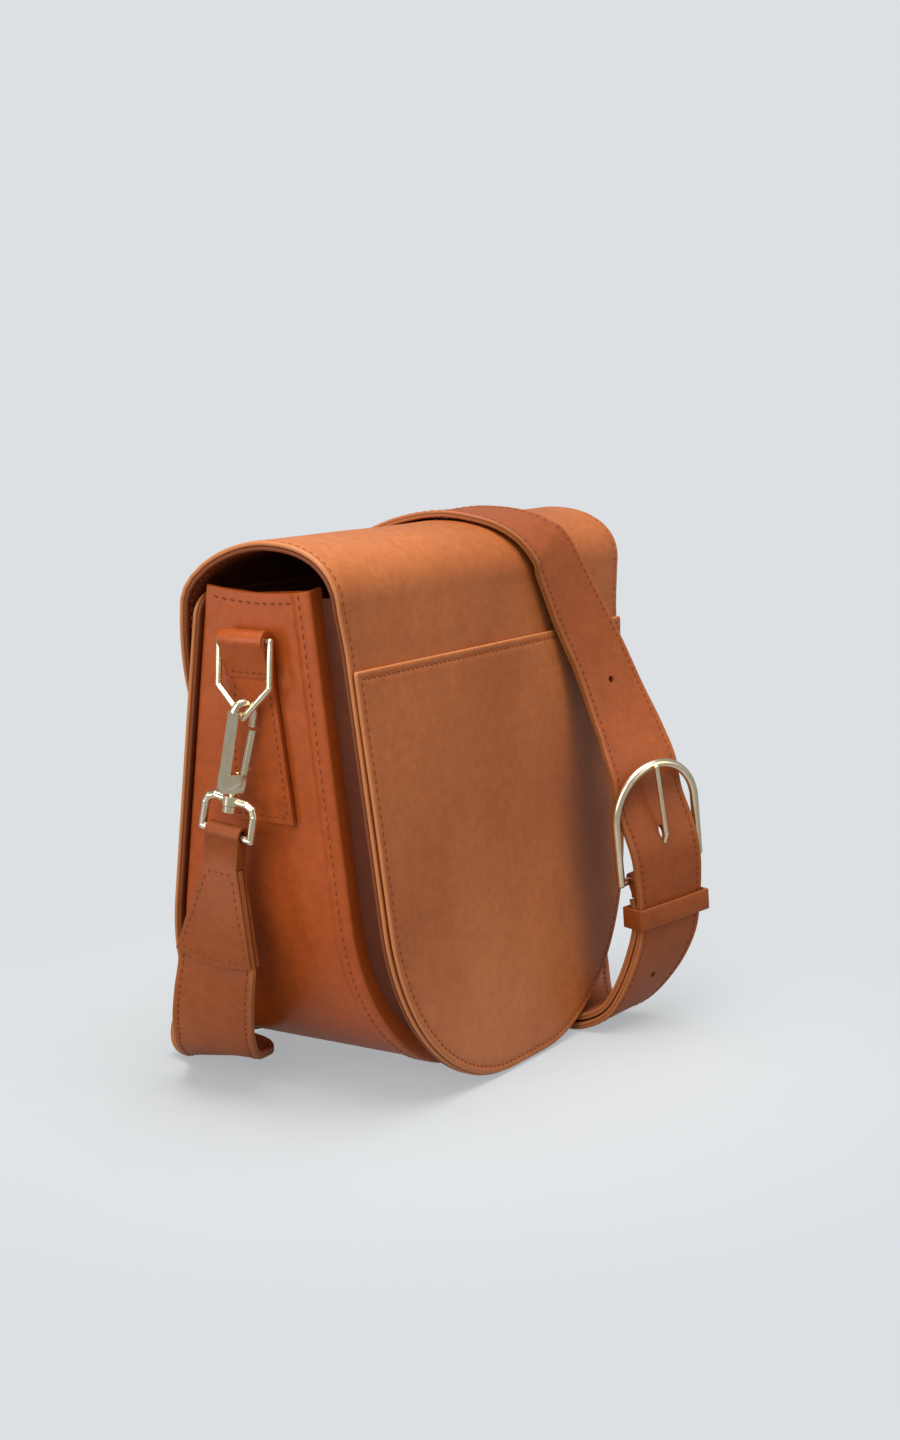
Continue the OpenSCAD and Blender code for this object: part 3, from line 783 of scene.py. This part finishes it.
def crossing(a):
    """Station of the strap where it lies along the flap's arch, at arch angle a."""
    y, z = arch(a, STRAP_LIE)
    u, v = arch(a + CROSS_STEP, STRAP_LIE), arch(a - CROSS_STEP, STRAP_LIE)
    dy, dz = v[0] - u[0], v[1] - u[1]
    run = math.hypot(dy, dz)
    dx = 2 * CROSS_STEP * CROSS_RATE
    n = math.hypot(run, dx)
    return (CROSS_START + CROSS_RATE * (180 - a), y, z, run / n,
            -dx * dy / run / n, -dx * dz / run / n)


# stations of each strap: the middle of it, then the direction across it
END_STATIONS = (14.4, 30, 46, 55, 63)
LONG = [(RING_X, end_y(u), end_z(u), 0, -1, 0.105) for u in END_STATIONS] + [
    (119, -19, 44, 0.05, -1, 0.1), (113.5, -23.5, 31, 0.1, -1, 0.08),
    (103, -29.5, 18.5, 0.2, -1, 0.05),
    (89, -36, 11.5, 0.45, -0.9, 0), (75.5, -43.5, 7.6, 0.62, -0.78, 0),
    (66, -53, 4.9, 0.9, -0.4, 0), (60.8, -64.8, 5.0, 0.96, -0.28, 0.01),
    (55.5, -70.4, 11.3, 0.97, -0.1, 0.08),
    (49.3, -70.6, 20.5, 0.94, 0.0, 0.3), (42, -68, 34, 0.92, 0.04, 0.38),
    (33, -63.5, 54, 0.93, 0.04, 0.36), (24, -58.5, 82, 0.95, 0.02, 0.3),
    (16, -54.5, 115, 0.96, 0, 0.27), (9, -48.5, 150, 0.95, 0, 0.29),
    (1, -42.3, 183, 0.94, 0.05, 0.31)
] + [crossing(176 - 18 * k) for k in range(10)] + [
    (-63, 55.5, 199, 0.9, 0, -0.43), (-72, 63, 176, 0.93, -0.08, -0.36),
    (-75, 71, 156, 0.95, -0.18, -0.26), (-73.5, 80, 140, 0.94, -0.28, -0.2),
    (-70, 88, 125, 0.91, -0.36, -0.2), (-71.4, 90.6, 110, 0.893, -0.398, -0.208),
    (-73, 94.8, 98, 0.893, -0.398, -0.208), (-74.3, 97.7, 88, 0.893, -0.398, -0.208),
    (-76.6, 98.6, 76.3, 0.893, -0.398, -0.208), (-79, 98.2, 60, 0.93, -0.34, -0.1),
    (-78.5, 97, 44, 0.96, -0.28, 0), (-76, 90.5, 26, 0.98, -0.18, 0), (-73, 80, 10, 1, -0.05, 0),
    (-71, 67, 2.7, 1, 0, 0), (-70, 54, 1.9, 1, 0, 0), (-71, 40, 1.9, 1, 0, 0)]
SHORT = [(-RING_X, -end_y(u), end_z(u), 0, 1, 0.105) for u in END_STATIONS] + [
    (-119.5, 20, 44, -0.05, 1, 0.1), (-114, 25, 28, -0.15, 0.98, 0.1),
    (-104.5, 32, 14.5, -0.3, 0.94, 0.05), (-92, 40, 7.5, -0.5, 0.86, 0),
    (-80.5, 48.5, 5.4, -0.75, 0.66, 0), (-73.5, 58, 5.4, -0.95, 0.3, 0), (-72.2, 68, 7, -1, 0, 0),
    (-74.5, 78, 14, -1, 0.05, 0), (-77.5, 87, 27.8, -0.98, 0.18, 0),
    (-79.8, 93.2, 44.5, -0.96, 0.28, 0), (-80.8, 94.6, 57, -0.93, 0.34, 0.1),
    (-80.8, 94.2, 64.4, -0.893, 0.398, 0.208)]


def spline(p0, p1, p2, p3, t):
    """Catmull-Rom point between p1 and p2."""
    return [0.5 * (2 * b + (c - a) * t + (2 * a - 5 * b + 4 * c - d) * t * t
                   + (3 * b - a - 3 * c + d) * t ** 3) for a, b, c, d in zip(p0, p1, p2, p3)]


def smooth_route(route, k):
    out = []
    n = len(route)
    for i in range(n - 1):
        for j in range(k):
            out.append(spline(route[max(i - 1, 0)], route[i], route[i + 1],
                              route[min(i + 2, n - 1)], j / k))
    out.append(list(route[-1]))
    return out


def strap_frames(route, round_end):
    """Stations of a strap: centre, width direction, face direction and width."""
    path = smooth_route(route, 7)
    res = []
    total = 0.0
    run = [0.0]
    for a, b in zip(path, path[1:]):
        total += (Vector(b[:3]) - Vector(a[:3])).length
        run.append(total)
    for i, p in enumerate(path):
        a, b = path[max(i - 1, 0)], path[min(i + 1, len(path) - 1)]
        along = (Vector(b[:3]) - Vector(a[:3])).normalized()
        raw = Vector(p[3:6])
        across = (raw - along * raw.dot(along)).normalized()
        face = along.cross(across)
        down = (end_z(0) - p[2]) / math.cos(END)
        w = STRAP_W
        if abs(p[0]) >= RING_X - 0.5:
            w = min(STRAP_W, FOLD_W + (STRAP_W - FOLD_W) * (down - END_STRAIGHT) / END_FLARE)
        left = total - run[i]
        if round_end and left < TIP:
            w = STRAP_W * math.sqrt(max(0.02, 1 - (1 - left / TIP) ** 2 * 0.98))
        res.append((Vector(p[:3]), across, face, w))
    return res


STRAP_STITCH, STRAP_ANGLE, PUNCH_SIDES = 2.9, 48, 20


def strap_section(w, t):
    """Closed section, as (across, face, edge): two leather layers with rounded edges, a fine gap
    line between them and a stitch groove on each face."""
    h, e = w / 2, t / 2
    g = h - STRAP_STITCH
    top = [(h - 0.05, 0.18, 1), (h, 0.5, 1), (h, e - 0.6, 1), (h - 0.2, e - 0.2, 0.9),
           (h - 0.7, e, 0.5), (h - 1.8, e + 0.02, 0), (g + 0.4, e - 0.13, 0), (g, e - 0.2, 0),
           (g - 0.4, e - 0.13, 0), (g - 1.3, e + 0.02, 0), (h * 0.45, e + 0.05, 0),
           (0, e + 0.08, 0)]
    upper = top + [(-a, f, g) for a, f, g in reversed(top[:-1])]
    lower = [(-a, -f, g) for a, f, g in top] + [(a, -f, g) for a, f, g in reversed(top[:-1])]
    return [(h - 0.4, 0, 1)] + upper + [(-(h - 0.4), 0, 1)] + lower


def ribbon(name, frames, mat, replaces, holes=()):
    """A strap along its stations, with holes given as (centre, face, across, radius, radius)."""
    verts, edge, rows = [], [], []
    for c, across, face, w in frames:
        sec = strap_section(w, STRAP_T)
        rows.append(list(range(len(verts), len(verts) + len(sec))))
        for a, f, g in sec:
            verts.append(c + across * a + face * f)
            edge.append(g * 0.8)
    o = make(name, verts, skin(rows), mat, None, replaces, edge,
             angle=STRAP_ANGLE, weld=False)
    if holes:
        hv, hf = [], []
        for c, face, across, ra, rb in holes:
            along = across.cross(face)
            rings = []
            for side in (-6, 6):
                rings.append(range(len(hv), len(hv) + PUNCH_SIDES))
                for k in range(PUNCH_SIDES):
                    q = k * 2 * math.pi / PUNCH_SIDES
                    hv.append((c + face * side + across * (ra * math.cos(q))
                               + along * (rb * math.sin(q))) * MM)
            hf += skin(rings)
        cm = bpy.data.meshes.new(name + "_punch")
        cm.from_pydata(hv, [], hf)
        punch = add_object(name + "_punch", cm)
        bm = bmesh.new()
        bm.from_mesh(cm)
        bmesh.ops.recalc_face_normals(bm, faces=bm.faces)
        bm.to_mesh(cm)
        bm.free()
        mod = o.modifiers.new("holes", "BOOLEAN")
        mod.operation = "DIFFERENCE"
        mod.solver = "EXACT"
        mod.object = punch
        apply_all(o)
        bpy.data.objects.remove(punch)
        shade_smooth(o, STRAP_ANGLE)
    return o


def strap_lines(frames):
    """Stitch paths along both edges of both faces of a strap, as far as it is wide enough."""
    lift = STRAP_T / 2 - 0.14
    out = []
    for side in (1, -1):
        for sign in (1, -1):
            out.append([(c + across * side * (w / 2 - STRAP_STITCH) + face * sign * lift,
                         face * sign) for c, across, face, w in frames if w >= 14])
    return out


def nearest(frames, target):
    return min(frames, key=lambda f: (f[0] - Vector(target)).length)


long_frames = strap_frames(LONG, True)
short_frames = strap_frames(SHORT, False)
punches = []
for place, ra, rb in (((-30, 12, 243.6), 1.7, 1.7), ((-73.5, 68, 165), 1.7, 1.7),
                      ((-76.2, 91, 27), 1.7, 1.7), ((-73.4, 95.4, 95), 1.9, 3.6)):
    c, across, face, w = nearest(long_frames, place)
    punches.append((c, face, across, ra, rb))
strap = ribbon("long_strap_leather", long_frames, STRAP, ("long_strap",), punches)
bend_with_flap(strap)
bend_with_flap(stitches("long_strap_stitches", strap_lines(long_frames), 3.5, THREAD_DARK, None,
                        slant=0.12))
short = ribbon("buckle_strap_leather", short_frames, STRAP, ("buckle_strap",))
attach(short, "shell")
stitches("buckle_strap_stitches", strap_lines(short_frames), 3.5, THREAD_DARK, "shell",
         slant=0.12)


# ---------------------------------------------------------------- small pieces from the CAD
def rounded_copy(node, mat, body, bevel):
    """A copy of a CAD node with rounded edges, standing for it."""
    bm = bmesh.new()
    bm.from_mesh(NODES[node].data)
    bmesh.ops.remove_doubles(bm, verts=bm.verts, dist=1e-6)
    bmesh.ops.dissolve_limit(bm, angle_limit=math.radians(4), verts=bm.verts, edges=bm.edges)
    me = bpy.data.meshes.new(node + "_rounded")
    bm.to_mesh(me)
    bm.free()
    me.materials.append(mat)
    o = add_object(node + "_rounded", me)
    round_edges(o, bevel, 3, 40)
    shade_smooth(o, 46)
    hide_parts(node)
    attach(o, body)
    return o


for side in ("left", "right"):
    rounded_copy("tab_" + side, GUSSET, "shell", 0.5)
    rounded_copy("strap_end_" + side, STRAP, "loop_" + side, 0.45)
    rounded_copy("hook_" + side, GOLD, "hook_" + side, 0.45)
    rounded_copy("gate_" + side, GOLD, "gate_" + side, 0.25)
rounded_copy("keeper_loop", STRAP, "shell", 0.5)
rounded_copy("buckle_fold", STRAP, "shell", 0.4)

for name, o in NODES.items():
    if o.hide_render:
        continue
    if name.startswith("gate_spring"):
        mat = STEEL
    elif any(k in name for k in ("ring_", "hook_", "gate_", "swivel_", "snap", "buckle_frame",
                                 "buckle_prong")):
        mat = GOLD
    elif name in ("gusset_lining", "flap_lining", "back_lining"):
        mat = LINING
    elif name == "base_stiffener":
        mat = BOARD
    else:
        mat = DARK_AND_RECESS_SHADE
    o.data.materials.clear()
    o.data.materials.append(mat)


# ---------------------------------------------------------------- stitching on the small pieces
def side_frame(sign):
    """Frame of a ring tab: +X out of the gusset, on the left side or turned to the right one."""
    m = Matrix.Translation((TAB_X, 0, TAB_Z)) @ Matrix.Rotation(LEAN, 4, "Y")
    return m if sign > 0 else Matrix.Rotation(math.pi, 4, "Z") @ m


def end_frame(sign):
    """Frame of a strap end, with its origin on the loop."""
    m = (Matrix.Translation((RING_X, 0, RING_Z)) @ Matrix.Rotation(-HANG, 4, "X")
         @ Matrix.Translation((0, 0, -LOOP_DROP)) @ Matrix.Rotation(HANG - END, 4, "X"))
    return m if sign > 0 else Matrix.Rotation(math.pi, 4, "Z") @ m


def framed(m, line):
    """(x, y, z, normal x, normal z) points in a local frame as a stitch path."""
    r = m.to_3x3()
    return [(m @ Vector((x, y, z)), r @ Vector((nx, 0, nz))) for x, y, z, nx, nz in line]


def between_points(a, b, n=12):
    return [tuple(lerp(p, q, k / n) for p, q in zip(a, b)) for k in range(n + 1)]


for sign, word in ((1, "left"), (-1, "right")):
    m = side_frame(sign)
    t = 2.2 - 0.05    # face of the tab's lower leather
    rows = [between_points((4.66, -8.6, -13.6, 1, 0.3), (4.66, 8.6, -13.6, 1, 0.3)),
            between_points((t, -8.6, -19, 1, 0), (t, -13.2, -74.6, 1, 0)),
            between_points((t, -13.2, -75.2, 1, 0), (t, 13.2, -75.2, 1, 0)),
            between_points((t, 13.2, -74.6, 1, 0), (t, 8.6, -19, 1, 0))]
    stitches("tab_stitches_" + word, [framed(m, r) for r in rows], 3.3, THREAD_DARK, "shell",
             length=2.3)
    m = end_frame(sign)
    rows = []
    for face in (1, -1):
        x = face * (STRAP_T / 2 + 0.35 + 1.4 - 0.04)    # strap, glue gap, leather, sunk thread
        rows.append(between_points((x, -6.4, -16.4, face, 0), (x, 6.4, -16.4, face, 0)))
        for s in (1, -1):
            line = []
            for k in range(13):
                u = k / 12
                line.append((x, s * lerp(6.6, 16.6, u), lerp(-18, -51.2, u), face, 0))
            rows.append(line)
        line = []
        for k in range(17):
            a = lerp(-1, 1, k / 16)
            line.append((x, a * 16.6, -54.2 + 2.8 * a * a, face, 0))
        rows.append(line)
    stitches("strap_end_stitches_" + word, [framed(m, r) for r in rows], 3.2, THREAD_DARK,
             "loop_" + word, length=2.2)


# ---------------------------------------------------------------- stage, light and camera
def floor_material():
    """Half clear near the bag, so that its shadow shows, and clear further out."""
    m, nt, b = new_material("pale_floor")
    out = [n for n in nt.nodes if n.type == "OUTPUT_MATERIAL"][0]
    co = nt.nodes.new("ShaderNodeTexCoord").outputs["Object"]
    length = nt.nodes.new("ShaderNodeVectorMath")
    length.operation = "LENGTH"
    nt.links.new(co, length.inputs[0])
    far = nt.nodes.new("ShaderNodeMapRange")
    nt.links.new(length.outputs["Value"], far.inputs["Value"])
    for k, v in (("From Min", 0.1), ("From Max", 0.34), ("To Min", 0.5), ("To Max", 1.0)):
        far.inputs[k].default_value = v
    far.interpolation_type = "SMOOTHSTEP"
    clear = nt.nodes.new("ShaderNodeBsdfTransparent")
    join = nt.nodes.new("ShaderNodeMixShader")
    nt.links.new(far.outputs["Result"], join.inputs[0])
    nt.links.new(b.outputs[0], join.inputs[1])
    nt.links.new(clear.outputs[0], join.inputs[2])
    nt.links.new(join.outputs[0], out.inputs[0])
    grain = tex(nt, "ShaderNodeTexNoise", co, Scale=60.0, Detail=2.0).outputs[0]
    nt.links.new(ramp(nt, grain, [(0.3, FLOOR_DARK), (0.7, FLOOR_LIGHT)]), b.inputs["Base Color"])
    b.inputs["Roughness"].default_value = 0.85
    b.inputs["Specular IOR Level"].default_value = 0.1
    return m


FLOOR_DARK, FLOOR_LIGHT, FLOOR_R = (0.478, 0.497, 0.512), (0.488, 0.507, 0.522), 1.6
me = bpy.data.meshes.new("floor")
ring = [(FLOOR_R * math.cos(k * math.pi / 32), FLOOR_R * math.sin(k * math.pi / 32), -0.0002)
        for k in range(64)]    # just under the base, so the two faces don't share a plane
me.from_pydata(ring, [], [tuple(range(64))])
me.materials.append(floor_material())
floor = add_object("floor", me)

world = bpy.data.worlds.new("studio")
scene.world = world
world.use_nodes = True
nt = world.node_tree
nt.nodes.clear()
wout = nt.nodes.new("ShaderNodeOutputWorld")
seen = nt.nodes.new("ShaderNodeBackground")
seen.inputs[0].default_value = (0.716, 0.745, 0.768, 1)
seen.inputs[1].default_value = 1.0
lit = nt.nodes.new("ShaderNodeBackground")
lit.inputs[0].default_value = (1.0, 0.99, 0.97, 1)
lit.inputs[1].default_value = 0.33
path = nt.nodes.new("ShaderNodeLightPath")
pick = nt.nodes.new("ShaderNodeMixShader")
nt.links.new(path.outputs["Is Camera Ray"], pick.inputs[0])
nt.links.new(lit.outputs[0], pick.inputs[1])
nt.links.new(seen.outputs[0], pick.inputs[2])
nt.links.new(pick.outputs[0], wout.inputs[0])


def area(name, at, target, size, power, colour=(1, 1, 1)):
    data = bpy.data.lights.new(name, "AREA")
    data.shape = "RECTANGLE"
    data.size, data.size_y = size
    data.energy = power
    data.color = colour
    o = add_object(name, data)
    o.location = at
    o.rotation_euler = (Vector(target) - Vector(at)).to_track_quat("-Z", "Y").to_euler()


area("overhead", (0.1, 0.15, 1.5), (0, 0, 0.1), (1.3, 1.3), 34, (1.0, 0.985, 0.955))
area("side_fill", (1.5, 0.1, 0.7), (0, 0, 0.1), (1.0, 1.2), 13)
area("side_strip", (1.15, -0.66, 0.22), (0.11, 0, 0.17), (0.3, 0.6), 3)
area("back_fill", (-0.35, 1.5, 0.6), (0, 0, 0.12), (0.9, 1.2), 4.5, (1.0, 0.96, 0.9))

cam = add_object("camera", bpy.data.cameras.new("camera"))
ahead = Vector((-0.8453, -0.5099, -0.1599)).normalized()
right = Vector((-0.5165, 0.8563, 0)).normalized()
up = right.cross(ahead).normalized()
cam.matrix_world = Matrix.Translation((0.851, 0.539, 0.313)) @ Matrix(
    (right, up, -ahead)).transposed().to_4x4()
cam.data.sensor_fit = "AUTO"
cam.data.sensor_width = 36
cam.data.lens = 55.975
cam.data.clip_end = 20
scene.camera = cam
scene.view_settings.view_transform = "Standard"
